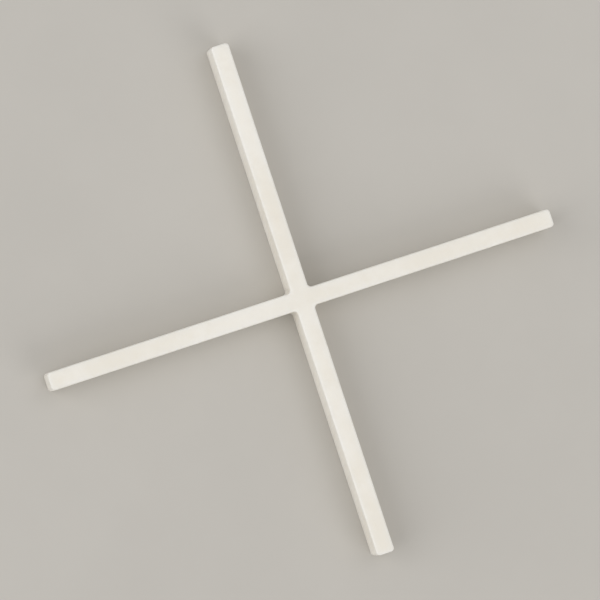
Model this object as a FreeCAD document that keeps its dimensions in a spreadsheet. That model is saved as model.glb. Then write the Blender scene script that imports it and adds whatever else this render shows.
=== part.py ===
import FreeCAD, Part
import math
import os
import Sketcher

NODE = "tile_spacer"
SHEET = "sizes"
PARTS_FOLDER = "parts"

# Lengths that differ by less than this, in millimetres, are taken as equal
TOUCH = 1e-6

# Driving sizes: millimetres, degrees for the draft, and a plain number for the count of arms
DRIVING_SIZES = (
    ("span", 28.0, "tip to tip across two opposite arms, at the parting line"),
    ("arm_width", 1.0, "width of the joint that an arm keeps open, at the parting line"),
    ("depth", 2.0, "how far the spacer reaches into the joint"),
    ("arm_count", 4, "arms around the middle, one for each joint that meets there"),
    ("draft_angle", 0.5, "lean of every side face, away from the parting line"),
    ("seat_radius", 0.2, "round inside corner that the corner of a tile sits in"),
    ("tip_radius", 0.2, "round upright corners at the end of an arm"),
    ("rim_radius", 0.08, "round edge all along the top and the underside"),
    ("pin_land", 0.1, "flat left each side of the ejector pin mark"),
    ("pin_mark_depth", 0.05, "how far the ejector pin stood into the underside"),
    ("gate_diameter", 0.5, "where the runner was snapped off the end of an arm"),
    ("gate_scar_depth", 0.08, "how far the break reaches into that end"),
)


def make_sheet(document):
    """Write every driving size into a spreadsheet, under its own name."""
    sheet = document.addObject("Spreadsheet::Sheet", SHEET)
    for row, (name, value, meaning) in enumerate(DRIVING_SIZES, start=1):
        sheet.set(f"A{row}", name)
        sheet.set(f"B{row}", str(value))
        sheet.set(f"C{row}", meaning)
        sheet.setAlias(f"B{row}", name)
    document.recompute()
    return sheet


def origin_part(body, role):
    """Return the plane or axis of the body's own origin that has this role."""
    return next(item for item in body.Origin.OriginFeatures if item.Role == role)


def plan_sketch(body, name, height=None):
    """Start a sketch that lies parallel to the parting plane, at a height bound to the sheet."""
    sketch = body.newObject("Sketcher::SketchObject", name)
    sketch.AttachmentSupport = [(origin_part(body, "XY_Plane"), "")]
    sketch.MapMode = "FlatFace"
    if height is not None:
        sketch.setExpression("AttachmentOffset.Base.z", height)
    return sketch


def bind_constraint(sketch, name, constraint, expression):
    """Add a named dimension to a sketch and bind it to the sheet."""
    index = sketch.addConstraint(constraint)
    sketch.renameConstraint(index, name)
    sketch.setExpression(f"Constraints.{name}", expression)


def draw_arm(sketch, sheet):
    """Draw one arm from the middle of the cross to its end, even about the X axis."""
    length = sheet.span / 2
    side_y = sheet.arm_width / 2
    corners = (
        FreeCAD.Vector(0, -side_y),
        FreeCAD.Vector(length, -side_y),
        FreeCAD.Vector(length, side_y),
        FreeCAD.Vector(0, side_y),
    )
    for first, last in zip(corners, corners[1:] + corners[:1]):
        sketch.addGeometry(Part.LineSegment(first, last))
    near_side, tip, far_side, root = range(len(corners))
    for line, following in ((near_side, tip), (tip, far_side), (far_side, root), (root, near_side)):
        sketch.addConstraint(Sketcher.Constraint("Coincident", line, 2, following, 1))
    sketch.addConstraint(Sketcher.Constraint("Horizontal", near_side))
    sketch.addConstraint(Sketcher.Constraint("Horizontal", far_side))
    sketch.addConstraint(Sketcher.Constraint("Vertical", tip))
    sketch.addConstraint(Sketcher.Constraint("PointOnObject", root, 1, -2))
    sketch.addConstraint(Sketcher.Constraint("Symmetric", root, 1, root, 2, -1, 1))
    bind_constraint(sketch, "arm_length", Sketcher.Constraint("DistanceX", near_side, 1, near_side, 2, length),
                    f"{SHEET}.span / 2")
    bind_constraint(sketch, "arm_width", Sketcher.Constraint("DistanceY", tip, 1, tip, 2, sheet.arm_width),
                    f"{SHEET}.arm_width")


def upright_edges(shape, height, keep):
    """Name the edges that climb from the parting plane to the top and whose middle passes a test."""
    names = []
    for index, edge in enumerate(shape.Edges, start=1):
        box = edge.BoundBox
        if abs(box.ZMin) < TOUCH and abs(box.ZMax - height) < TOUCH and keep(box.Center):
            names.append(f"Edge{index}")
    return names


def side_faces(shape):
    """Name the faces that stand upright."""
    return [f"Face{index}" for index, face in enumerate(shape.Faces, start=1)
            if abs(face.normalAt(0, 0).z) < TOUCH]


def rim_edges(shape, height):
    """Name the edges that lie flat at a height."""
    return [f"Edge{index}" for index, edge in enumerate(shape.Edges, start=1)
            if abs(edge.BoundBox.ZMin - height) < TOUCH and abs(edge.BoundBox.ZMax - height) < TOUCH]


def round_edges(body, name, base, edges, radius):
    """Round the named edges of a feature, with a radius bound to the sheet."""
    fillet = body.newObject("PartDesign::Fillet", name)
    fillet.Base = (base, edges)
    fillet.setExpression("Radius", radius)
    body.Document.recompute()
    return fillet


def must_cut(feature, before):
    """Stop if a feature took nothing away from the shape before it."""
    if feature.Shape.Volume >= before.Shape.Volume:
        raise RuntimeError(f"{feature.Label} cuts nothing")


def build_upper_half(body, sheet):
    """Model the half of the cross that stands above the parting plane.

    One arm is padded and turned about the middle. The inside corners and the ends of the arms are rounded,
    every side then leans inwards as a mould needs, and the top rim is rounded last.
    """
    document = body.Document
    arm_plan = plan_sketch(body, "arm_plan")
    draw_arm(arm_plan, sheet)
    arm = body.newObject("PartDesign::Pad", "arm")
    arm.Profile = arm_plan
    arm.setExpression("Length", f"{SHEET}.depth / 2")
    document.recompute()

    cross = body.newObject("PartDesign::PolarPattern", "cross")
    cross.Originals = [arm]
    cross.Axis = (origin_part(body, "Z_Axis"), [""])
    cross.setExpression("Occurrences", f"{SHEET}.arm_count")
    body.Tip = cross
    document.recompute()

    height = sheet.depth / 2
    middle = sheet.span / 4
    seats = upright_edges(cross.Shape, height, lambda point: math.hypot(point.x, point.y) < middle)
    rounded_seats = round_edges(body, "tile_seats", cross, seats, f"{SHEET}.seat_radius")

    ends = upright_edges(rounded_seats.Shape, height, lambda point: math.hypot(point.x, point.y) > middle)
    rounded_ends = round_edges(body, "arm_ends", rounded_seats, ends, f"{SHEET}.tip_radius")
    must_cut(rounded_ends, rounded_seats)

    draft = body.newObject("PartDesign::Draft", "mould_draft")
    draft.Base = (rounded_ends, side_faces(rounded_ends.Shape))
    draft.NeutralPlane = (origin_part(body, "XY_Plane"), [""])
    draft.setExpression("Angle", f"{SHEET}.draft_angle")
    document.recompute()
    must_cut(draft, rounded_ends)

    rim = rim_edges(draft.Shape, height)
    rounded_rim = round_edges(body, "rim", draft, rim, f"{SHEET}.rim_radius")
    must_cut(rounded_rim, draft)
    return rounded_rim


def mirror_half(body, upper_half):
    """Add the half below the parting plane, the mirror image of the upper one."""
    whole = body.newObject("PartDesign::Mirrored", "lower_half")
    whole.TransformMode = "Whole shape"
    whole.MirrorPlane = (origin_part(body, "XY_Plane"), [""])
    body.Tip = whole
    body.Document.recompute()
    if whole.Shape.Volume < 2 * upper_half.Shape.Volume * (1 - TOUCH):
        raise RuntimeError("the lower half is missing")
    return whole


def cut_pin_mark(body, sheet, whole):
    """Sink the round mark of the ejector pin into the middle of the underside."""
    diameter = sheet.arm_width - 2 * sheet.pin_land
    outline = plan_sketch(body, "pin_outline", f"-{SHEET}.depth / 2")
    circle = outline.addGeometry(Part.Circle(FreeCAD.Vector(0, 0), FreeCAD.Vector(0, 0, 1), diameter / 2))
    outline.addConstraint(Sketcher.Constraint("Coincident", circle, 3, -1, 1))
    bind_constraint(outline, "pin_diameter", Sketcher.Constraint("Diameter", circle, diameter),
                    f"{SHEET}.arm_width - 2 * {SHEET}.pin_land")
    mark = body.newObject("PartDesign::Pocket", "pin_mark")
    mark.Profile = outline
    mark.Reversed = True
    mark.setExpression("Length", f"{SHEET}.pin_mark_depth")
    body.Document.recompute()
    must_cut(mark, whole)
    return mark


def cut_gate_scar(body, before):
    """Leave a shallow round break in the end of the arm that the plastic was fed through."""
    half_gate = f"{SHEET}.gate_diameter / 2"
    deep = f"{SHEET}.gate_scar_depth"
    ball_radius = f"(({half_gate}) ^ 2 + {deep} ^ 2) / (2 * {deep})"
    scar = body.newObject("PartDesign::SubtractiveSphere", "gate_scar")
    scar.AttachmentSupport = [(origin_part(body, "XY_Plane"), "")]
    scar.MapMode = "FlatFace"
    scar.setExpression("Radius", ball_radius)
    scar.setExpression("AttachmentOffset.Base.x", f"{SHEET}.span / 2 + {ball_radius} - {deep}")
    body.Document.recompute()
    must_cut(scar, before)
    return scar


def check_document(document):
    """Stop if any object of the document failed or has no sound shape."""
    for item in document.Objects:
        if "Invalid" in item.State or "Error" in item.State:
            raise RuntimeError(f"{item.Label} failed: {item.State}")
        if hasattr(item, "Shape") and item.isDerivedFrom("PartDesign::Feature"):
            if item.Shape.isNull() or not item.Shape.isValid():
                raise RuntimeError(f"{item.Label} has no sound shape")


def build_spacer(document, sheet):
    """Build the whole spacer, standing on its underside with its middle over the origin."""
    body = document.addObject("PartDesign::Body", NODE)
    body.Label = NODE
    upper_half = build_upper_half(body, sheet)
    whole = mirror_half(body, upper_half)
    marked = cut_pin_mark(body, sheet, whole)
    body.Tip = cut_gate_scar(body, marked)
    body.setExpression("Placement.Base.z", f"{SHEET}.depth / 2")
    return body


def main():
    """Build the document, check it and write the spacer's shape."""
    document = FreeCAD.newDocument("spacer")
    sheet = make_sheet(document)
    body = build_spacer(document, sheet)
    document.recompute()
    check_document(document)
    shape = body.Shape
    if shape.isNull() or not shape.isValid() or len(shape.Solids) != 1:
        raise RuntimeError("the spacer isn't one sound solid")
    os.makedirs(PARTS_FOLDER, exist_ok=True)
    shape.exportStep(os.path.join(PARTS_FOLDER, f"{body.Label}.step"))
    box = shape.BoundBox
    print(f"{body.Label}: {box.XLength:.3f} x {box.YLength:.3f} x {box.ZLength:.3f} mm, from z {box.ZMin:.3f}, "
          f"{shape.Volume:.2f} cubic mm, {len(shape.Faces)} faces")


main()
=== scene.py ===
"""Looks of a moulded plastic cross that keeps the joints between tiles even.

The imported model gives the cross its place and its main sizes. This script models the moulding again as a fine
mesh, with the thin ridge of its parting line, its slightly sunken faces, the mark of the ejector pin and the
torn gate. It gives each of them a plastic finish and lights the cross in a plain studio. Lengths are metres.
"""

import logging
import math
from dataclasses import dataclass, field
from enum import Enum, IntEnum

import bmesh
import bpy
from mathutils import Matrix, Vector, noise

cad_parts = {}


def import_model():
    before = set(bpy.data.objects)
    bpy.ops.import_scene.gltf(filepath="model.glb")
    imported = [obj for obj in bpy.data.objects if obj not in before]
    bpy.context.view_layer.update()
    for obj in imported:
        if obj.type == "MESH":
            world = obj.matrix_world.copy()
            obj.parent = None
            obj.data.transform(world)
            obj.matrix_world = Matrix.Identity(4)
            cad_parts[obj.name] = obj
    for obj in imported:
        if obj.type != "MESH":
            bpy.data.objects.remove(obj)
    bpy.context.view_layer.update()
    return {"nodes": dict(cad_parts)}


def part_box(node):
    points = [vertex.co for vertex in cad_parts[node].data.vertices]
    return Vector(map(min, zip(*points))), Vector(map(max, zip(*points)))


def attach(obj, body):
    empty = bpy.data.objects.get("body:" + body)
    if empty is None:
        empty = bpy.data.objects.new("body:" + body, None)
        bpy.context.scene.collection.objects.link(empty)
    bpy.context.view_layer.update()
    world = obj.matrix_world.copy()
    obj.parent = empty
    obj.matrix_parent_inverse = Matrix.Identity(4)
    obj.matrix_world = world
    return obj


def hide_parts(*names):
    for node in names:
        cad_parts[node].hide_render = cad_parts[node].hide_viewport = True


LOG = logging.getLogger("spacer")
PIECE = "moulded_cross"
NODE = "tile_spacer"
BODY = "root"
MM = 0.001
MICRON = 0.000001

# Shader noise keeps close to its middle, and seldom climbs above its top
NOISE_MIDDLE = 0.5
NOISE_TOP = 0.7

Colour = tuple[float, float, float, float]
Ring = list[bmesh.types.BMVert]


class Zone(IntEnum):
    """The stretches of the moulding that look different, in the order of their material slots."""

    SKIN = 0
    PIN_MARK = 1
    TORN_GATE = 2


class Face(IntEnum):
    """The two broad faces of the cross, each by the way it looks along Z."""

    UNDERSIDE = -1
    TOP = 1


class Lamp(Enum):
    """The lamps of the studio, by the names that they get in the scene."""

    KEY = "key_lamp"
    FILL = "fill_lamp"
    OVERHEAD = "overhead_lamp"


def screen_colour(red: int, green: int, blue: int) -> Colour:
    """Turn a colour as a screen shows it into the linear colour that a shader takes.

    Args:
        red: screen value from 0 to 255.
        green: screen value from 0 to 255.
        blue: screen value from 0 to 255.

    Returns:
        The linear colour, opaque.
    """
    foot, foot_slope = 0.04045, 12.92
    lift, power = 0.055, 2.4
    shares = [value / 255 for value in (red, green, blue)]
    linear = [share / foot_slope if share <= foot else ((share + lift) / (1 + lift)) ** power
              for share in shares]
    return (*linear, 1.0)


def ease(share: float) -> float:
    """Turn a share from nought to one into one that starts and ends gently."""
    held = min(max(share, 0.0), 1.0)
    return held * held * (3 - 2 * held)


def drift(place: Vector, pitch: float) -> float:
    """Read smooth noise from nought to one, with bumps about a pitch apart."""
    return min(max(0.5 + 0.5 * noise.noise(place / pitch), 0.0), 1.0)


def add_to_scene(name: str, data: bpy.types.ID) -> bpy.types.Object:
    """Make an object of some data and add it to the scene.

    Args:
        name: the object's name.
        data: its mesh, light or camera.

    Returns:
        The object.
    """
    item = bpy.data.objects.new(name, data)
    bpy.context.scene.collection.objects.link(item)
    return item


# Shader graphs, and the effects that several finishes share


class Graph:
    """A node tree that is filled one node at a time."""

    def __init__(self, tree: bpy.types.NodeTree) -> None:
        """Keep the tree."""
        self.tree = tree

    def feed(self, socket: bpy.types.NodeSocket, value: object) -> None:
        """Link an output to an input, or set the input's own value.

        Args:
            socket: the input to fill.
            value: an output socket, or a plain value.
        """
        if isinstance(value, bpy.types.NodeSocket):
            self.tree.links.new(value, socket)
        else:
            socket.default_value = value

    def add(self, kind: str, options: dict[str, object] | None = None, **inputs: object) -> bpy.types.Node:
        """Add a node, set its options and fill its inputs.

        Args:
            kind: the node's type, without the word ShaderNode.
            options: settings of the node, such as its operation.
            inputs: what each input gets, by its name with underscores for spaces.

        Returns:
            The new node.
        """
        node = self.tree.nodes.new(f"ShaderNode{kind}")
        for name, value in (options or {}).items():
            setattr(node, name, value)
        for name, value in inputs.items():
            self.feed(node.inputs[name.replace("_", " ")], value)
        return node

    def operate(self, kind: str, operation: str, *values: object) -> bpy.types.Node:
        """Add a node that works one thing out of its inputs.

        Args:
            kind: Math or VectorMath.
            operation: the node's operation.
            values: what its inputs get, in their order.

        Returns:
            The new node.
        """
        node = self.add(kind, {"operation": operation})
        for socket, value in zip(node.inputs, values):
            self.feed(socket, value)
        return node

    def math(self, operation: str, *values: object) -> bpy.types.NodeSocket:
        """Work out plain numbers: the result of an operation on some values."""
        return self.operate("Math", operation, *values).outputs[0]

    def turned(self, place: bpy.types.NodeSocket, angle: float) -> bpy.types.NodeSocket:
        """Turn a place about the Z axis by an angle in radians."""
        node = self.add("VectorRotate", {"rotation_type": "Z_AXIS"}, Vector=place, Angle=angle)
        return node.outputs[0]

    def noise(self, place: bpy.types.NodeSocket, scale: object, detail: float, roughness: float = 0.5,
              form: tuple[float, float, float] | None = None) -> bpy.types.NodeSocket:
        """Add smooth noise.

        Args:
            place: the output that gives the place.
            scale: bumps in a metre.
            detail: how many finer layers of bumps it has.
            roughness: how much each finer layer shows.
            form: how many times closer its bumps lie along X, Y and Z, or None where they are round.

        Returns:
            The noise.
        """
        if form is not None:
            place = self.operate("VectorMath", "MULTIPLY", place, form).outputs[0]
        node = self.add("TexNoise", Vector=place, Scale=scale, Detail=detail, Roughness=roughness)
        return node.outputs[0]

    def step(self, value: bpy.types.NodeSocket, low: object, high: object) -> bpy.types.NodeSocket:
        """Turn a value into a soft step from nought to one.

        Args:
            value: the output to read.
            low: where the step starts.
            high: where the step ends.

        Returns:
            The step.
        """
        node = self.add("MapRange", {"interpolation_type": "SMOOTHSTEP"}, Value=value, From_Min=low,
                        From_Max=high)
        return node.outputs["Result"]

    def inverse(self, share: bpy.types.NodeSocket) -> bpy.types.NodeSocket:
        """Turn a share round, so that one becomes nought."""
        return self.math("SUBTRACT", 1.0, share)

    def noise_tops(self, bumps: bpy.types.NodeSocket, reach: bpy.types.NodeSocket,
                   softness: float) -> bpy.types.NodeSocket:
        """Turn the tops of some noise into a mask.

        Args:
            bumps: the noise.
            reach: how far below the highest tops the mask begins.
            softness: how much higher the noise is where the mask is full.

        Returns:
            The mask.
        """
        low = self.math("SUBTRACT", NOISE_TOP, reach)
        return self.step(bumps, low, self.math("ADD", low, softness))

    def relief(self, layers: tuple[tuple[bpy.types.NodeSocket, float], ...]) -> bpy.types.NodeSocket:
        """Raise several layers of relief out of the surface, each on the one before.

        Args:
            layers: the height that each layer follows, from nought to one, and how high it stands.

        Returns:
            The normal of the last layer.
        """
        normal = None
        for height, distance in layers:
            bump = self.add("Bump", Distance=distance, Height=height)
            if normal is not None:
                self.feed(bump.inputs["Normal"], normal)
            normal = bump.outputs["Normal"]
        return normal

    def blend(self, kind: str, share: object, first: object, second: object) -> bpy.types.NodeSocket:
        """Blend two values or two colours.

        Args:
            kind: FLOAT or RGBA.
            share: how much of the second shows.
            first: what shows where the share is nought.
            second: what shows where the share is one.

        Returns:
            The blend.
        """
        node = self.add("Mix", {"data_type": kind})
        for title, value in (("Factor", share), ("A", first), ("B", second)):
            socket = next(entry for entry in node.inputs if entry.name == title and entry.enabled)
            self.feed(socket, value)
        return next(entry for entry in node.outputs if entry.enabled)


@dataclass(frozen=True)
class EffectParts:
    """A shader group while it is built.

    Attributes:
        graph: the group's graph.
        given: the sockets that bring the group's inputs, by name.
        results: the sockets that take the group's outputs, by name.
    """

    graph: Graph
    given: dict[str, bpy.types.NodeSocket]
    results: dict[str, bpy.types.NodeSocket]


class Effects:
    """The shader groups that give the finishes their small variations, each built once."""

    def __init__(self) -> None:
        """Build every group."""
        self.cloudy_tint = self._cloudy_tint()
        self.moulded_grain = self._moulded_grain()
        self.cutter_lines = self._cutter_lines()
        self.tumble_rubs = self._tumble_rubs()
        self.hair_scratches = self._hair_scratches()
        self.rubbed_and_highlit_edges = self._rubbed_and_highlit_edges()
        self.flow_ripples = self._flow_ripples()

    @staticmethod
    def _start(name: str, inputs: dict[str, str], outputs: dict[str, str]) -> EffectParts:
        """Start a shader group.

        Args:
            name: the group's name.
            inputs: the socket type of each input, by name.
            outputs: the socket type of each output, by name.

        Returns:
            The parts of the new group.
        """
        tree = bpy.data.node_groups.new(name, "ShaderNodeTree")
        for way, sockets in (("INPUT", inputs), ("OUTPUT", outputs)):
            for title, kind in sockets.items():
                tree.interface.new_socket(title, in_out=way, socket_type=f"NodeSocket{kind}")
        given = tree.nodes.new("NodeGroupInput").outputs
        results = tree.nodes.new("NodeGroupOutput").inputs
        return EffectParts(Graph(tree), {title: given[title] for title in inputs},
                           {title: results[title] for title in outputs})

    def _cloudy_tint(self) -> bpy.types.NodeTree:
        """Build the group that drifts between two tints in soft clouds.

        Returns:
            The group, which puts out a colour.
        """
        fine_per_wide, fine_share = 5.3, 0.35
        all_pale, all_deep = 0.36, 0.64
        parts = self._start("cloudy_tint",
                            {"Place": "Vector", "Scale": "Float", "Pale": "Color", "Deep": "Color"},
                            {"Colour": "Color"})
        graph, given = parts.graph, parts.given
        wide = graph.noise(given["Place"], given["Scale"], detail=2.0)
        fine = graph.noise(given["Place"], graph.math("MULTIPLY", given["Scale"], fine_per_wide), detail=3.0,
                           roughness=0.6)
        clouds = graph.blend("FLOAT", fine_share, wide, fine)
        colour = graph.blend("RGBA", graph.step(clouds, all_pale, all_deep), given["Pale"], given["Deep"])
        graph.feed(parts.results["Colour"], colour)
        return graph.tree

    def _moulded_grain(self) -> bpy.types.NodeTree:
        """Build the group for the fine tooth that the spark-eroded mould leaves on the plastic.

        Returns:
            The group, which puts out a height.
        """
        pits_per_tooth, pit_width, pit_depth = 0.6, 0.45, 0.4
        parts = self._start("moulded_grain", {"Place": "Vector", "Scale": "Float"}, {"Height": "Float"})
        graph, given = parts.graph, parts.given
        teeth = graph.noise(given["Place"], given["Scale"], detail=4.0, roughness=0.62)
        pits = graph.add("TexVoronoi", {"feature": "SMOOTH_F1"}, Vector=given["Place"],
                         Scale=graph.math("MULTIPLY", given["Scale"], pits_per_tooth), Smoothness=0.6)
        pitted = graph.math("MULTIPLY", graph.step(pits.outputs["Distance"], 0.0, pit_width), pit_depth)
        graph.feed(parts.results["Height"], graph.math("ADD", teeth, pitted))
        return graph.tree

    def _cutter_lines(self) -> bpy.types.NodeTree:
        """Build the group for the faint lines along each arm that the mould took over from its cutter.

        Returns:
            The group, which puts out a height.
        """
        drawn_out = 0.03
        parts = self._start("cutter_lines", {"Place": "Vector", "Scale": "Float"}, {"Height": "Float"})
        graph, given = parts.graph, parts.given
        axes = graph.add("SeparateXYZ", Vector=given["Place"])
        on_y_arm = graph.math("GREATER_THAN", graph.math("ABSOLUTE", axes.outputs["Y"]),
                              graph.math("ABSOLUTE", axes.outputs["X"]))
        lines = [graph.noise(given["Place"], given["Scale"], detail=3.0, roughness=0.7, form=form)
                 for form in ((drawn_out, 1.0, 1.0), (1.0, drawn_out, 1.0))]
        graph.feed(parts.results["Height"], graph.blend("FLOAT", on_y_arm, *lines))
        return graph.tree

    def _tumble_rubs(self) -> bpy.types.NodeTree:
        """Build the group for the dull rubs that the moulding got when it tumbled out of its mould.

        Returns:
            The group, which puts out a mask.
        """
        slant, rub_form, softness = 0.9, (0.35, 1.6, 1.0), 0.14
        parts = self._start("tumble_rubs", {"Place": "Vector", "Scale": "Float", "Reach": "Float"},
                            {"Mask": "Float"})
        graph, given = parts.graph, parts.given
        turned = graph.turned(given["Place"], slant)
        rubs = graph.noise(turned, given["Scale"], detail=5.0, roughness=0.7, form=rub_form)
        graph.feed(parts.results["Mask"], graph.noise_tops(rubs, given["Reach"], softness))
        return graph.tree

    def _hair_scratches(self) -> bpy.types.NodeTree:
        """Build the group for the hair-thin scratches, in three directions and only here and there.

        Returns:
            The group, which puts out a mask.
        """
        directions = (0.35, 1.45, 2.6)
        strand_form, patch_form = (0.05, 1.0, 0.6), (0.7, 1.3, 1.0)
        patches_per_strand, softness = 0.4, 0.05
        parts = self._start("hair_scratches",
                            {"Place": "Vector", "Scale": "Float", "Width": "Float", "Reach": "Float"},
                            {"Mask": "Float"})
        graph, given = parts.graph, parts.given
        patch_scale = graph.math("MULTIPLY", given["Scale"], patches_per_strand)
        mask = None
        for angle in directions:
            turned = graph.turned(given["Place"], angle)
            strands = graph.noise(turned, given["Scale"], detail=1.0, form=strand_form)
            patches = graph.noise(turned, patch_scale, detail=1.0, form=patch_form)
            off_line = graph.math("ABSOLUTE", graph.math("SUBTRACT", strands, NOISE_MIDDLE))
            line = graph.inverse(graph.step(off_line, 0.0, given["Width"]))
            scratch = graph.math("MULTIPLY", line, graph.noise_tops(patches, given["Reach"], softness))
            mask = scratch if mask is None else graph.math("MAXIMUM", mask, scratch)
        graph.feed(parts.results["Mask"], mask)
        return graph.tree

    def _rubbed_and_highlit_edges(self) -> bpy.types.NodeTree:
        """Build the group that finds the edges of the cross, which rub first and carry a painted highlight.

        Returns:
            The group, which puts out a mask that is broken up along each edge.
        """
        worn_and_highlit_share = 0.3
        no_wear_or_highlight, full_wear_and_highlight = 0.38, 0.66
        parts = self._start("rubbed_and_highlit_edges",
                            {"Place": "Vector", "Scale": "Float", "Half width": "Float",
                             "Arm length": "Float", "Half depth": "Float", "Reach": "Float"},
                            {"Mask": "Float"})
        graph, given = parts.graph, parts.given
        axes = graph.add("SeparateXYZ", Vector=given["Place"])
        across = graph.math("ABSOLUTE", axes.outputs["X"])
        along = graph.math("ABSOLUTE", axes.outputs["Y"])
        rise = graph.math("ABSOLUTE", graph.math("SUBTRACT", axes.outputs["Z"], given["Half depth"]))
        gaps = (graph.math("SUBTRACT", given["Half width"], graph.math("MINIMUM", across, along)),
                graph.math("SUBTRACT", given["Arm length"], graph.math("MAXIMUM", across, along)),
                graph.math("SUBTRACT", given["Half depth"], rise))
        side, end, face = (graph.math("MAXIMUM", gap, 0.0) for gap in gaps)
        rim = graph.math("ADD", graph.math("MINIMUM", side, end), face)
        upright = graph.math("ADD", side, end)
        away = graph.math("MINIMUM", rim, upright)
        worn_and_highlit_width = graph.math("MULTIPLY", given["Reach"], worn_and_highlit_share)
        near = graph.inverse(graph.step(away, worn_and_highlit_width, given["Reach"]))
        breaks = graph.noise(given["Place"], given["Scale"], detail=4.0, roughness=0.65)
        mask = graph.math("MULTIPLY", near, graph.step(breaks, no_wear_or_highlight, full_wear_and_highlight))
        graph.feed(parts.results["Mask"], mask)
        return graph.tree

    def _flow_ripples(self) -> bpy.types.NodeTree:
        """Build the group for the ripples that the plastic froze in where it rushed in through the gate.

        Returns:
            The group, which puts out a height.
        """
        swirls_per_ripple = 0.4
        parts = self._start("flow_ripples",
                            {"Place": "Vector", "Gate": "Vector", "Pitch": "Float", "Reach": "Float"},
                            {"Height": "Float"})
        graph, given = parts.graph, parts.given
        away = graph.operate("VectorMath", "DISTANCE", given["Place"], given["Gate"]).outputs["Value"]
        swirl_scale = graph.math("DIVIDE", swirls_per_ripple, given["Pitch"])
        swirl = graph.noise(given["Place"], swirl_scale, detail=2.0)
        turns = graph.math("DIVIDE", away, given["Pitch"])
        phase = graph.math("MULTIPLY", graph.math("ADD", turns, swirl), math.tau)
        # The sine swings from -1 to 1, and the height from nought to one
        wave = graph.math("MULTIPLY_ADD", graph.math("SINE", phase), 0.5, 0.5)
        fade = graph.inverse(graph.step(away, 0.0, given["Reach"]))
        graph.feed(parts.results["Height"], graph.math("MULTIPLY", wave, fade))
        return graph.tree

    @staticmethod
    def place(graph: Graph, effect: bpy.types.NodeTree, **inputs: object) -> bpy.types.NodeSocket:
        """Put an effect into a material.

        Args:
            graph: the material's graph.
            effect: the shader group.
            inputs: what each of its inputs gets.

        Returns:
            What the effect puts out.
        """
        node = graph.add("Group", {"node_tree": effect}, **inputs)
        return node.outputs[0]


# The sizes


@dataclass(frozen=True)
class CrossSizes:
    """Sizes of the moulded cross.

    Attributes:
        span: tip to tip across two opposite arms, at the parting line.
        arm_width: width of an arm at the parting line.
        depth: from the underside to the top.
        draft: lean of the sides, in radians.
        seat_radius: round of the inside corners.
        tip_radius: round of an arm's upright corners.
        rim_radius: round all along the top and the underside.
        pin_land: plastic left each side of the ejector pin's mark.
        pin_mark_depth: how far that mark lies above the underside.
        gate_radius: half the width of the torn gate.
        gate_depth: how far the break reaches into the arm's end.
        ridge: how far the parting line stands proud of the sides.
        ridge_height: how far up and down the sides that ridge spreads.
        arm_sink: how far the broad faces sink along the middle of an arm.
        hub_sink: how far they sink where the arms meet.
        waviness: how far any surface strays from its true form.
        wave_pitch: how far apart those strays lie.
        support: width of the narrow strip beside each round edge.
    """

    span: float
    arm_width: float
    depth: float
    draft: float = math.radians(0.5)
    seat_radius: float = 0.2 * MM
    tip_radius: float = 0.2 * MM
    rim_radius: float = 0.08 * MM
    pin_land: float = 0.1 * MM
    pin_mark_depth: float = 0.05 * MM
    gate_radius: float = 0.25 * MM
    gate_depth: float = 0.08 * MM
    ridge: float = 0.01 * MM
    ridge_height: float = 0.018 * MM
    arm_sink: float = 0.012 * MM
    hub_sink: float = 0.012 * MM
    waviness: float = 0.003 * MM
    wave_pitch: float = 1.3 * MM
    support: float = 0.016 * MM

    @classmethod
    def from_frame(cls, solid: bpy.types.Object) -> "CrossSizes":
        """Work the main sizes out from the solid in the frame.

        Args:
            solid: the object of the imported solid.

        Returns:
            The sizes.
        """
        low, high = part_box(NODE)
        span = high.x - low.x
        on_x_arms = [abs(corner.co.y) for corner in solid.data.vertices if abs(corner.co.x) > span / 4]
        return cls(span=span, arm_width=2 * max(on_x_arms), depth=high.z - low.z)

    @property
    def parting_height(self) -> float:
        """Height of the parting line above the underside."""
        return self.depth / 2

    @property
    def arm_length(self) -> float:
        """From the middle of the cross to the end of an arm."""
        return self.span / 2

    @property
    def pin_radius(self) -> float:
        """Radius of the ejector pin's mark."""
        return self.arm_width / 2 - self.pin_land

    def side_inset(self, rise: float) -> float:
        """How far a side stands back from the outline, at a rise above or below the parting line."""
        return self.ridge + abs(rise) * math.tan(self.draft)


# The finishes


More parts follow.
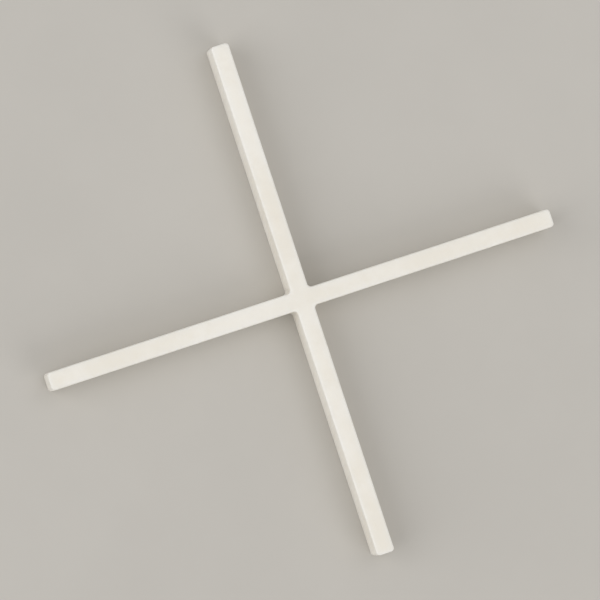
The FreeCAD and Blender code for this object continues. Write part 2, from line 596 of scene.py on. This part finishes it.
@dataclass(frozen=True)
class PlasticFinish:
    """One finish of the moulded plastic.

    Attributes:
        name: the material's name.
        pale: the paler of its two tints.
        deep: the deeper of its two tints.
        roughness: its roughness where nothing rubbed it.
        rubbed: how much rougher it is where it was rubbed.
        rub_reach: how much of it was rubbed.
        grain_height: height of its grain.
        line_height: height of the cutter's lines in it.
        ripple_height: height of the flow ripples near the gate.
        edge_wear_and_highlight: how much paler and duller its rubbed edges are; paler partly from rubbing and
            partly as a painted highlight along the rims.
        scratch_depth: depth of its hair-thin scratches.
        cloud_scale: clouds of tint in a metre.
        rub_scale: rubs in a metre.
        grain_scale: grains in a metre.
        line_scale: lines in a metre.
        scratch_scale: scratches in a metre.
        scratch_width: width of a scratch, as a share of the noise that it follows.
        scratch_reach: how much of the plastic is scratched.
        edge_scale: breaks in the rubbing and the painted highlight along an edge, in a metre.
        edge_reach: how far from an edge the rubbing and the painted highlight spread.
        ripple_pitch: from one flow ripple to the next.
        ripple_reach: how far from the gate they fade out.
        worn_and_highlit_tint: tint of a rubbed edge, paler partly from rubbing and partly as a painted
            highlight along the rims.
        glow: share of the light that wanders inside the plastic.
        glow_reach: how far that light wanders.
        glow_balance: how far each colour of it goes, as a share of the reach.
        light_bend: its index of refraction.
    """

    name: str
    pale: Colour
    deep: Colour
    roughness: float
    rubbed: float
    rub_reach: float
    grain_height: float
    line_height: float
    ripple_height: float
    edge_wear_and_highlight: float
    scratch_depth: float
    cloud_scale: float = 260.0
    rub_scale: float = 1800.0
    grain_scale: float = 9000.0
    line_scale: float = 9000.0
    scratch_scale: float = 2600.0
    scratch_width: float = 0.035
    scratch_reach: float = 0.15
    edge_scale: float = 2600.0
    edge_reach: float = 0.16 * MM
    ripple_pitch: float = 0.28 * MM
    ripple_reach: float = 4.0 * MM
    # Paler tint of the rubbed edges, partly from rubbing and partly a painted highlight
    worn_and_highlit_tint: Colour = screen_colour(249, 247, 241)
    glow: float = 0.55
    glow_reach: float = 0.7 * MM
    glow_balance: tuple[float, float, float] = (1.0, 1.0, 1.0)
    light_bend: float = 1.51

    def build(self, effects: Effects, sizes: CrossSizes) -> bpy.types.Material:
        """Make the material.

        Args:
            effects: the shader groups that it draws on.
            sizes: the sizes of the cross, for the places of its edges and its gate.

        Returns:
            The material.
        """
        material = bpy.data.materials.new(self.name)
        material.use_nodes = True
        graph = Graph(material.node_tree)
        place = graph.add("TexCoord").outputs["Object"]
        tint = effects.place(graph, effects.cloudy_tint, Place=place, Scale=self.cloud_scale, Pale=self.pale,
                             Deep=self.deep)
        rubs = effects.place(graph, effects.tumble_rubs, Place=place, Scale=self.rub_scale,
                             Reach=self.rub_reach)
        edges = effects.place(graph, effects.rubbed_and_highlit_edges, Place=place, Scale=self.edge_scale,
                              Half_width=sizes.arm_width / 2, Arm_length=sizes.arm_length,
                              Half_depth=sizes.parting_height, Reach=self.edge_reach)
        scratches = effects.place(graph, effects.hair_scratches, Place=place, Scale=self.scratch_scale,
                                  Width=self.scratch_width, Reach=self.scratch_reach)
        lines = effects.place(graph, effects.cutter_lines, Place=place, Scale=self.line_scale)
        ripples = effects.place(graph, effects.flow_ripples, Place=place, Pitch=self.ripple_pitch,
                                Gate=(sizes.arm_length, 0.0, sizes.parting_height), Reach=self.ripple_reach)
        grain = effects.place(graph, effects.moulded_grain, Place=place, Scale=self.grain_scale)
        # Rubbed edges turn paler and duller: the paler tint is partly rubbing and partly a painted highlight
        # along the rims
        wear_and_highlight = graph.math("MULTIPLY", edges, self.edge_wear_and_highlight)
        dull = graph.math("MAXIMUM", graph.math("MAXIMUM", rubs, wear_and_highlight), scratches)
        layers = ((lines, self.line_height), (ripples, self.ripple_height), (grain, self.grain_height),
                  (graph.inverse(scratches), self.scratch_depth))
        settings = {
            "Base Color": graph.blend("RGBA", wear_and_highlight, tint, self.worn_and_highlit_tint),
            "Roughness": graph.math("MULTIPLY_ADD", dull, self.rubbed, self.roughness),
            "Normal": graph.relief(layers),
            "IOR": self.light_bend,
            "Subsurface Weight": self.glow,
            "Subsurface Radius": self.glow_balance,
            "Subsurface Scale": self.glow_reach,
        }
        shader = graph.tree.nodes["Principled BSDF"]
        for title, value in settings.items():
            graph.feed(shader.inputs[title], value)
        return material


@dataclass(frozen=True)
class FloorFinish:
    """The matt finish of the studio floor.

    Attributes:
        name: the material's name.
        pale: the paler of its two tints.
        deep: the deeper of its two tints.
        cloud_scale: clouds of tint in a metre.
        roughness: its roughness.
    """

    name: str = "studio_floor"
    pale: Colour = screen_colour(199, 195, 188)
    deep: Colour = screen_colour(196, 192, 185)
    cloud_scale: float = 40.0
    roughness: float = 0.9

    def build(self, effects: Effects) -> bpy.types.Material:
        """Make the material.

        Args:
            effects: the shader groups that it draws on.

        Returns:
            The material.
        """
        material = bpy.data.materials.new(self.name)
        material.use_nodes = True
        graph = Graph(material.node_tree)
        place = graph.add("TexCoord").outputs["Object"]
        tint = effects.place(graph, effects.cloudy_tint, Place=place, Scale=self.cloud_scale, Pale=self.pale,
                             Deep=self.deep)
        shader = graph.tree.nodes["Principled BSDF"]
        graph.feed(shader.inputs["Base Color"], tint)
        graph.feed(shader.inputs["Roughness"], self.roughness)
        return material


MOULDED_SKIN = PlasticFinish(name="moulded_skin", pale=screen_colour(244, 240, 232),
                             deep=screen_colour(239, 234, 224), roughness=0.41, rubbed=0.2, rub_reach=0.1,
                             grain_height=3.0 * MICRON, line_height=4.0 * MICRON, ripple_height=3.0 * MICRON,
                             edge_wear_and_highlight=0.5, scratch_depth=3.0 * MICRON)
PIN_POLISH = PlasticFinish(name="pin_polish", pale=screen_colour(243, 239, 231),
                           deep=screen_colour(240, 235, 226), roughness=0.24, rubbed=0.1, rub_reach=0.05,
                           grain_height=0.8 * MICRON, line_height=1.0 * MICRON, ripple_height=0.0,
                           edge_wear_and_highlight=0.0, scratch_depth=1.5 * MICRON)
TORN_PLASTIC = PlasticFinish(name="torn_plastic", pale=screen_colour(248, 246, 240),
                             deep=screen_colour(241, 237, 229), roughness=0.6, rubbed=0.15, rub_reach=0.3,
                             grain_height=9.0 * MICRON, line_height=1.0 * MICRON, ripple_height=0.0,
                             edge_wear_and_highlight=0.0, scratch_depth=0.0, cloud_scale=5200.0)
FINISHES = {Zone.SKIN: MOULDED_SKIN, Zone.PIN_MARK: PIN_POLISH, Zone.TORN_GATE: TORN_PLASTIC}


# The moulding


@dataclass(frozen=True)
class OutlinePoint:
    """A point of the outline at the parting line, and the way out of the plastic there."""

    place: Vector
    out: Vector

    def set_back(self, inset: float) -> Vector:
        """The point moved into the plastic by an inset."""
        return self.place - self.out * inset

    def turned(self) -> "OutlinePoint":
        """The same point on the next arm, a quarter turn on."""
        return OutlinePoint(Vector((-self.place.y, self.place.x)), Vector((-self.out.y, self.out.x)))


@dataclass(frozen=True)
class Level:
    """A ring of points round the sides: its rise above the parting line and how far it stands back."""

    rise: float
    inset: float


@dataclass
class MouldedCross:
    """The moulding, as rings of points round its sides and rows of points across its broad faces.

    Attributes:
        sizes: the sizes of the cross.
        effects: the shader groups for its finishes.
        arms: how many arms it has.
        stations: rows of points along the straight sides of an arm.
        columns: steps across an arm.
        tip_steps: steps round each upright corner of an arm's end.
        seat_steps: steps round each inside corner.
        rim_steps: steps round the rim.
        side_steps: steps up a side, from the parting ridge to the rim.
        land_rings: rings between the edge of the middle and the pin's mark.
        disc_rings: rings from the pin's mark to the centre.
        gated_arm: the arm that was fed with plastic.
        mesh: the mesh while it is built.
        loops: the rings of points round the sides, from the underside to the top.
        levels: the level of each of those rings.
    """

    sizes: CrossSizes
    effects: Effects
    arms: int = 4
    stations: int = 64
    columns: int = 10
    tip_steps: int = 6
    seat_steps: int = 8
    rim_steps: int = 6
    side_steps: int = 8
    land_rings: int = 5
    disc_rings: int = 6
    gated_arm: int = 0
    mesh: bmesh.types.BMesh = field(default_factory=bmesh.new)
    loops: list[Ring] = field(default_factory=list)
    levels: list[Level] = field(default_factory=list)

    @property
    def rows(self) -> int:
        """Rows of points across an arm, from its root to its end."""
        return self.stations + self.tip_steps

    @property
    def arm_points(self) -> int:
        """Points of the outline that belong to one arm and the inside corner after it."""
        return 2 * (self.rows - 1) + self.columns + self.seat_steps

    def shares_across(self) -> list[float]:
        """Work out where the columns lie across an arm.

        Returns:
            Shares of half the width, from -1 to 1, with a narrow strip beside each rim.
        """
        strip_start = 0.95
        inner_steps = self.columns - 2
        inner = [strip_start * (2 * step / inner_steps - 1) for step in range(inner_steps + 1)]
        return [-1.0, *inner, 1.0]

    def distances_along(self) -> list[float]:
        """Work out where the rows lie along the straight sides of an arm.

        Returns:
            Distances from the middle of the cross, with a narrow strip beside each round corner.
        """
        size = self.sizes
        start = size.arm_width / 2 + size.seat_radius
        end = size.arm_length - size.tip_radius
        first, last = start + size.support, end - size.support
        inner_steps = self.stations - 3
        inner = [first + (last - first) * step / inner_steps for step in range(inner_steps + 1)]
        return [start, *inner, end]

    @staticmethod
    def corner(centre: Vector, radius: float, start: float, turn: float, steps: int) -> list[OutlinePoint]:
        """Step round a corner of the outline, without the first and last points.

        Args:
            centre: centre of the round.
            radius: radius of the round.
            start: direction of the first point from the centre, in degrees.
            turn: degrees to the last point, negative round a hollow corner.
            steps: steps from the first point to the last.

        Returns:
            The points between.
        """
        points = []
        for step in range(1, steps):
            angle = math.radians(start + turn * step / steps)
            ray = Vector((math.cos(angle), math.sin(angle)))
            points.append(OutlinePoint(centre + ray * radius, ray * math.copysign(1, turn)))
        return points

    def outline(self) -> list[OutlinePoint]:
        """Walk round the whole cross at the parting line, anticlockwise from above.

        Returns:
            The points, arm by arm, each arm's inside corner last.
        """
        size = self.sizes
        half, end = size.arm_width / 2, size.arm_length
        tip_in, half_end = end - size.tip_radius, half - size.tip_radius
        seat = half + size.seat_radius
        along = self.distances_along()
        arm = [OutlinePoint(Vector((reach, -half)), Vector((0, -1))) for reach in along]
        arm += self.corner(Vector((tip_in, -half_end)), size.tip_radius, -90, 90, self.tip_steps)
        arm += [OutlinePoint(Vector((end, share * half_end)), Vector((1, 0)))
                for share in self.shares_across()]
        arm += self.corner(Vector((tip_in, half_end)), size.tip_radius, 0, 90, self.tip_steps)
        arm += [OutlinePoint(Vector((reach, half)), Vector((0, 1))) for reach in reversed(along)]
        arm += self.corner(Vector((seat, seat)), size.seat_radius, -90, -90, self.seat_steps)
        points = []
        for _ in range(self.arms):
            points += arm
            arm = [point.turned() for point in arm]
        return points

    def half_levels(self) -> list[Level]:
        """Work out the rings from the foot of the parting ridge to the rim of one broad face.

        Returns:
            The levels, with their rise counted from the parting line.
        """
        size = self.sizes
        round_centre = size.parting_height - size.rim_radius
        round_start = round_centre + size.rim_radius * math.sin(size.draft)
        last_side = round_start - size.support
        levels = []
        for step in range(self.side_steps + 1):
            rise = size.ridge_height + (last_side - size.ridge_height) * step / self.side_steps
            levels.append(Level(rise, size.side_inset(rise)))
        centre_inset = size.side_inset(round_centre) + size.rim_radius / math.cos(size.draft)
        for step in range(self.rim_steps + 1):
            angle = size.draft + (math.pi / 2 - size.draft) * step / self.rim_steps
            levels.append(Level(round_centre + size.rim_radius * math.sin(angle),
                                centre_inset - size.rim_radius * math.cos(angle)))
        return levels

    def side_place(self, point: OutlinePoint, level: Level) -> Vector:
        """Find where a point of the outline lies at a level.

        Args:
            point: the point of the outline.
            level: the level.

        Returns:
            Its place, with the small strays of a real moulding.
        """
        size = self.sizes
        wave = drift(Vector((*point.place, level.rise)), size.wave_pitch)
        if level.rise == 0:
            # The parting ridge is full in some stretches and mostly lost in others
            most_lost, contrast, threshold = 0.8, 1.6, 0.5
            stray = most_lost * size.ridge * ease(contrast * wave - threshold)
        else:
            stray = size.waviness * wave
        flat = point.set_back(level.inset + stray)
        return Vector((flat.x, flat.y, size.parting_height + level.rise))

    def bridge(self, first: Ring, second: Ring, zone: Zone = Zone.SKIN) -> None:
        """Fill the strip between two closed rings of points.

        Args:
            first: one ring.
            second: the other, with as many points.
            zone: the finish of the strip.
        """
        for index, corner in enumerate(first):
            before = index - 1
            strip = self.mesh.faces.new((first[before], corner, second[index], second[before]))
            strip.material_index = zone

    def close(self, ring: Ring, centre: Vector, zone: Zone) -> None:
        """Close a ring with a fan round its centre.

        Args:
            ring: the ring.
            centre: place of the centre.
            zone: the finish of the fan.
        """
        middle = self.mesh.verts.new(centre)
        for index, corner in enumerate(ring):
            leaf = self.mesh.faces.new((ring[index - 1], corner, middle))
            leaf.material_index = zone

    def build_sides(self) -> None:
        """Build the leaning sides, the parting ridge between them and the rounds of both rims."""
        upper = self.half_levels()
        lower = [Level(-level.rise, level.inset) for level in reversed(upper)]
        self.levels = [*lower, Level(0.0, 0.0), *upper]
        outline = self.outline()
        for level in self.levels:
            self.loops.append([self.mesh.verts.new(self.side_place(point, level)) for point in outline])
        for lower_ring, upper_ring in zip(self.loops, self.loops[1:]):
            self.bridge(lower_ring, upper_ring)

    def rim(self, face: Face) -> Ring:
        """The ring of points round a broad face."""
        return self.loops[-1] if face is Face.TOP else self.loops[0]

    def face_height(self, face: Face, sink: float) -> float:
        """Height of a broad face where it sinks by some depth."""
        return self.sizes.parting_height + face * (self.sizes.parting_height - sink)

    def arm_row(self, face: Face, arm: int, row: int) -> Ring:
        """Lay a row of points across an arm.

        Args:
            face: the broad face that the row lies on.
            arm: the arm's number.
            row: the row's number, from the root.

        Returns:
            The row's points, from the arm's right side to its left.
        """
        size = self.sizes
        rim = self.rim(face)
        start = arm * self.arm_points
        last = self.rows - 1
        if row == last:
            return rim[start + last:start + last + self.columns + 1]
        right = rim[start + row]
        left = rim[start + 2 * last + self.columns - row]
        points = [right]
        for share in self.shares_across()[1:-1]:
            place = right.co.lerp(left.co, (share + 1) / 2)
            fullness = 1 - share * share
            reach_to_end = ease((last - row) / self.tip_steps)
            sink = fullness * reach_to_end * (size.arm_sink + size.waviness * drift(place, size.wave_pitch))
            points.append(self.mesh.verts.new((place.x, place.y, self.face_height(face, sink))))
        points.append(left)
        return points

    def build_arm_face(self, face: Face, arm: int) -> Ring:
        """Fill the broad face of an arm.

        Args:
            face: the broad face.
            arm: the arm's number.

        Returns:
            The row of points at the arm's root.
        """
        rows = [self.arm_row(face, arm, row) for row in range(self.rows)]
        for near, far in zip(rows, rows[1:]):
            for column in range(self.columns):
                self.mesh.faces.new((near[column], far[column], far[column + 1], near[column + 1]))
        return rows[0]

    def build_middle(self, face: Face, roots: list[Ring]) -> None:
        """Fill the middle of a broad face, where the arms meet.

        Args:
            face: the broad face.
            roots: the row of points at the root of each arm.
        """
        size = self.sizes
        rim = self.rim(face)
        edge: Ring = []
        for arm, root in enumerate(roots):
            seat_end = (arm + 1) * self.arm_points
            edge += [*root, *rim[seat_end - self.seat_steps + 1:seat_end]]
        depths = [abs(self.face_height(face, 0.0) - point.co.z) for point in edge]
        ring = edge
        for step in range(1, self.land_rings + 1):
            share = step / self.land_rings
            inner: Ring = []
            for point, depth in zip(edge, depths):
                flat = Vector((point.co.x, point.co.y))
                target = flat.normalized() * size.pin_radius
                place = flat.lerp(target, share)
                sink = depth + (size.hub_sink - depth) * ease(share)
                inner.append(self.mesh.verts.new((place.x, place.y, self.face_height(face, sink))))
            self.bridge(ring, inner)
            ring = inner
        if face is Face.UNDERSIDE:
            self.build_disc(face, self.sink_pin_mark(ring), size.pin_mark_depth, Zone.PIN_MARK)
        else:
            self.build_disc(face, ring, size.hub_sink, Zone.SKIN)

    def sink_pin_mark(self, ring: Ring) -> Ring:
        """Sink the round mark of the ejector pin into the underside.

        Args:
            ring: the ring of points at the edge of the mark.

        Returns:
            The ring at the foot of its wall.
        """
        size = self.sizes
        # Each ring of the wall, as a share of the mark's radius and of the way down
        wall = ((0.996, 0.2), (0.99, 0.9), (0.975, 1.0))
        for share, fall in wall:
            sink = size.hub_sink + fall * (size.pin_mark_depth - size.hub_sink)
            height = self.face_height(Face.UNDERSIDE, sink)
            inner = [self.mesh.verts.new((point.co.x * share, point.co.y * share, height)) for point in ring]
            self.bridge(ring, inner, Zone.PIN_MARK)
            ring = inner
        return ring

    def build_disc(self, face: Face, ring: Ring, sink: float, zone: Zone) -> None:
        """Fill a round patch in the middle of a broad face.

        Args:
            face: the broad face.
            ring: the ring of points round the patch.
            sink: how far the patch is sunk.
            zone: its finish.
        """
        height = self.face_height(face, sink)
        outer = ring
        for step in range(1, self.disc_rings):
            share = 1 - step / self.disc_rings
            inner = [self.mesh.verts.new((point.co.x * share, point.co.y * share, height)) for point in ring]
            self.bridge(outer, inner, zone)
            outer = inner
        self.close(outer, Vector((0, 0, height)), zone)

    def open_gate(self) -> Ring:
        """Take the plain wall away where the gate was torn off the end of an arm.

        Returns:
            The ring of points round the opening, anticlockwise as seen from outside.
        """
        size = self.sizes
        first = self.gated_arm * self.arm_points + self.rows - 1
        last = first + self.columns
        clear_of_gate = 1.2 * size.gate_radius
        inside = [index for index, level in enumerate(self.levels) if abs(level.rise) < clear_of_gate]
        low, high = inside[0] - 1, inside[-1] + 1
        block = {corner for ring in self.loops[low:high + 1] for corner in ring[first:last + 1]}
        wall = [face for face in self.mesh.faces if all(corner in block for corner in face.verts)]
        ring = self.loops[low][first:last]
        ring += [loop[last] for loop in self.loops[low:high]]
        ring += reversed(self.loops[high][first + 1:last + 1])
        ring += [loop[first] for loop in reversed(self.loops[low + 1:high + 1])]
        bmesh.ops.delete(self.mesh, geom=wall, context="FACES")
        return ring

    def tear_gate(self) -> None:
        """Model the shallow torn crater where the runner was snapped off."""
        size = self.sizes
        crater_rings = 7
        land_shares = (0.35, 0.7, 0.9, 1.0)
        lip_start = land_shares[0]
        lip_height = 0.7 * size.ridge
        unevenness, unevenness_pitch = 0.1, 0.25 * MM
        edge = self.open_gate()
        centre = Vector((0.0, size.parting_height))
        angles = [math.atan2(point.co.z - centre.y, point.co.y) for point in edge]
        radii = [size.gate_radius * (1 - unevenness + unevenness * drift(point.co, unevenness_pitch))
                 for point in edge]
        ring = edge
        for share in land_shares:
            inner: Ring = []
            for point, angle, radius in zip(edge, angles, radii):
                flat = Vector((point.co.y, point.co.z))
                target = centre + Vector((math.cos(angle), math.sin(angle))) * radius
                place = flat.lerp(target, share)
                raised = lip_height * ease((share - lip_start) / (1 - lip_start))
                depth = size.side_inset(place.y - centre.y) - raised
                inner.append(self.mesh.verts.new((size.arm_length - depth, place.x, place.y)))
            self.bridge(ring, inner)
            ring = inner
        for step in range(1, crater_rings):
            share = 1 - step / crater_rings
            inner = [self.mesh.verts.new(self.crater_place(share, angle, radius))
                     for angle, radius in zip(angles, radii)]
            self.bridge(ring, inner, Zone.TORN_GATE)
            ring = inner
        self.close(ring, self.crater_place(0.0, 0.0, size.gate_radius), Zone.TORN_GATE)

    def crater_place(self, share: float, angle: float, radius: float) -> Vector:
        """Find a point of the torn crater.

        Args:
            share: how far out from its centre the point is, from nought to one.
            angle: direction from the centre, in radians.
            radius: radius of the crater that way.

        Returns:
            The place, with the roughness of torn plastic and the stump left in the middle.
        """
        size = self.sizes
        bowl_power = 0.7
        stump_height, stump_width = 0.55, 0.4
        raggedness, tear_pitch, fibre_pitch = 0.3, 0.07 * MM, 0.03 * MM
        across, up = share * radius * math.cos(angle), share * radius * math.sin(angle)
        torn = Vector((across, up, size.gate_depth))
        inward = 1 - share * share
        bowl = size.gate_depth * inward ** bowl_power
        stump = stump_height * size.gate_depth * math.exp(-((share / stump_width) ** 2))
        ragged = raggedness * size.gate_depth * (drift(torn, tear_pitch) + drift(torn, fibre_pitch) - 1)
        depth = size.side_inset(up) + max(bowl - stump + ragged * inward, 0.0)
        return Vector((size.arm_length - depth, across, size.parting_height + up))

    def shade(self) -> None:
        """Turn every face outwards and shade it smooth, apart from true creases."""
        crease = math.radians(38)
        bmesh.ops.recalc_face_normals(self.mesh, faces=self.mesh.faces)
        for face in self.mesh.faces:
            face.smooth = True
        for edge in self.mesh.edges:
            edge.smooth = edge.calc_face_angle(0.0) < crease

    def build(self) -> bpy.types.Object:
        """Build the moulding, dress it and place it for the solid.

        Returns:
            The piece.
        """
        self.build_sides()
        for face in Face:
            roots = [self.build_arm_face(face, arm) for arm in range(self.arms)]
            self.build_middle(face, roots)
        self.tear_gate()
        self.shade()
        data = bpy.data.meshes.new(PIECE)
        self.mesh.to_mesh(data)
        self.mesh.free()
        for zone in Zone:
            data.materials.append(FINISHES[zone].build(self.effects, self.sizes))
        piece = add_to_scene(PIECE, data)
        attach(piece, BODY)
        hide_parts(NODE)
        return piece


# The studio


@dataclass(frozen=True)
class LampPlace:
    """Where a lamp hangs and how much light it gives.

    Attributes:
        lamp: which lamp it is.
        azimuth: direction from the cross, in degrees anticlockwise from +X.
        elevation: height above the floor, in degrees.
        distance: distance from the cross, in spans of the cross.
        width: width of the lamp, in spans of the cross.
        share: share of a plain level of light that it gives on the floor.
    """

    lamp: Lamp
    azimuth: float
    elevation: float
    distance: float
    width: float
    share: float


@dataclass
class Studio:
    """The pale floor, the soft lamps and the world round the cross.

    Attributes:
        sizes: the sizes of the cross.
        effects: the shader groups for the floor's finish.
        floor_spans: width of the floor, in spans of the cross.
        floor_gap: how far the floor lies below the underside.
        world_share: share of a plain level of light that comes from all round, one less the lamps' shares.
        world_colour: colour of that light.
        backdrop: what shows where the floor ends.
        lamps: the lamps.
    """

    sizes: CrossSizes
    effects: Effects
    floor_spans: float = 140.0
    floor_gap: float = 5.0 * MICRON
    world_share: float = 0.54
    world_colour: Colour = (1.0, 1.0, 1.0, 1.0)
    backdrop: Colour = FloorFinish.deep
    lamps: tuple[LampPlace, ...] = (
        LampPlace(Lamp.KEY, azimuth=168.0, elevation=36.0, distance=40.0, width=40.0, share=0.24),
        LampPlace(Lamp.FILL, azimuth=295.0, elevation=35.0, distance=45.0, width=30.0, share=0.12),
        LampPlace(Lamp.OVERHEAD, azimuth=25.0, elevation=66.0, distance=40.0, width=20.0, share=0.1),
    )

    def build_floor(self) -> bpy.types.Object:
        """Lay the floor.

        Returns:
            The floor.
        """
        name = "studio_floor"
        half = self.floor_spans * self.sizes.span / 2
        data = bpy.data.meshes.new(name)
        corners = [(-half, -half, -self.floor_gap), (half, -half, -self.floor_gap),
                   (half, half, -self.floor_gap), (-half, half, -self.floor_gap)]
        data.from_pydata(corners, [], [(0, 1, 2, 3)])
        data.materials.append(FloorFinish().build(self.effects))
        floor = add_to_scene(name, data)
        return floor

    def hang_lamp(self, place: LampPlace) -> bpy.types.Object:
        """Hang a square lamp that faces the cross.

        Args:
            place: where it hangs and how much light it gives.

        Returns:
            The lamp.
        """
        azimuth, elevation = math.radians(place.azimuth), math.radians(place.elevation)
        away = Vector((math.cos(azimuth) * math.cos(elevation), math.sin(azimuth) * math.cos(elevation),
                       math.sin(elevation)))
        distance = place.distance * self.sizes.span
        light = bpy.data.lights.new(place.lamp.value, "AREA")
        light.size = place.width * self.sizes.span
        # With a share of one, this power alone would show the level floor in about its written colour
        light.energy = place.share * math.pi ** 2 * distance ** 2 / math.sin(elevation)
        lamp = add_to_scene(place.lamp.value, light)
        lamp.location = away * distance
        lamp.rotation_euler = away.to_track_quat("Z", "Y").to_euler()
        return lamp

    def set_world(self) -> None:
        """Light the cross evenly from all round, and show the pale backdrop where the floor ends."""
        world = bpy.data.worlds.new("studio_world")
        world.use_nodes = True
        graph = Graph(world.node_tree)
        light = graph.tree.nodes["Background"]
        light.inputs["Color"].default_value = self.world_colour
        light.inputs["Strength"].default_value = self.world_share
        shown = graph.add("Background", Color=self.backdrop, Strength=1.0)
        rays = graph.add("LightPath").outputs
        reflected = graph.math("MAXIMUM", rays["Is Glossy Ray"], rays["Is Transmission Ray"])
        chosen = graph.add("MixShader", Fac=graph.math("MAXIMUM", rays["Is Camera Ray"], reflected))
        graph.feed(chosen.inputs[1], light.outputs[0])
        graph.feed(chosen.inputs[2], shown.outputs[0])
        graph.feed(graph.tree.nodes["World Output"].inputs["Surface"], chosen.outputs[0])
        bpy.context.scene.world = world

    def build(self) -> None:
        """Lay the floor, hang the lamps and set the world."""
        floor = self.build_floor()
        LOG.info("%s is %.0f mm wide", floor.name, self.floor_spans * self.sizes.span / MM)
        for place in self.lamps:
            lamp = self.hang_lamp(place)
            LOG.info("%s hangs %.0f mm away", lamp.name, lamp.location.length / MM)
        self.set_world()


@dataclass
class PhotoCamera:
    """The camera, which looks down on the cross as the photograph does.

    Attributes:
        sizes: the sizes of the cross.
        tilt: how far the camera stands off the vertical, in degrees.
        side: the way it leans, in degrees anticlockwise from +X.
        turn: how far the +X arm is turned anticlockwise in the picture, in degrees.
        frame_share: share of the picture's width that the span would fill.
        lens: focal length, in millimetres.
        sensor: width of the sensor, in millimetres.
        clip_ratio: how many times nearer and further than the cross it still sees.
    """

    sizes: CrossSizes
    tilt: float = 9.0
    side: float = 180.0
    turn: float = 18.4
    frame_share: float = 0.89
    lens: float = 300.0
    sensor: float = 36.0
    clip_ratio: float = 100.0

    def build(self) -> bpy.types.Object:
        """Make the camera and use it for the scene.

        Returns:
            The camera.
        """
        tilt, side, turn = (math.radians(angle) for angle in (self.tilt, self.side, self.turn))
        back = Vector((math.cos(side) * math.sin(tilt), math.sin(side) * math.sin(tilt), math.cos(tilt)))
        up = Vector((math.sin(turn), math.cos(turn), 0.0))
        up = (up - back * up.dot(back)).normalized()
        right = up.cross(back)
        frame_width = self.sizes.span / self.frame_share
        distance = frame_width / self.sensor * self.lens
        name = "photo_camera"
        data = bpy.data.cameras.new(name)
        data.lens = self.lens
        data.sensor_width = self.sensor
        data.clip_start = distance / self.clip_ratio
        data.clip_end = distance * self.clip_ratio
        camera = add_to_scene(name, data)
        target = Vector((0.0, 0.0, self.sizes.parting_height))
        turned = Matrix((right, up, back)).transposed().to_4x4()
        camera.matrix_world = Matrix.Translation(target + back * distance) @ turned
        bpy.context.scene.camera = camera
        return camera


def main() -> None:
    """Build the cross and its studio."""
    logging.basicConfig(level=logging.INFO, format="%(name)s: %(message)s")
    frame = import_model()
    bpy.context.scene.view_settings.view_transform = "Standard"
    effects = Effects()
    sizes = CrossSizes.from_frame(frame["nodes"][NODE])
    LOG.info("the cross spans %.2f mm, with arms %.2f mm wide", sizes.span / MM, sizes.arm_width / MM)
    piece = MouldedCross(sizes, effects).build()
    LOG.info("%s has %d faces", piece.name, len(piece.data.polygons))
    Studio(sizes, effects).build()
    camera = PhotoCamera(sizes).build()
    LOG.info("%s stands %.0f mm away", camera.name, camera.matrix_world.translation.length / MM)


if __name__ == "__main__":
    main()
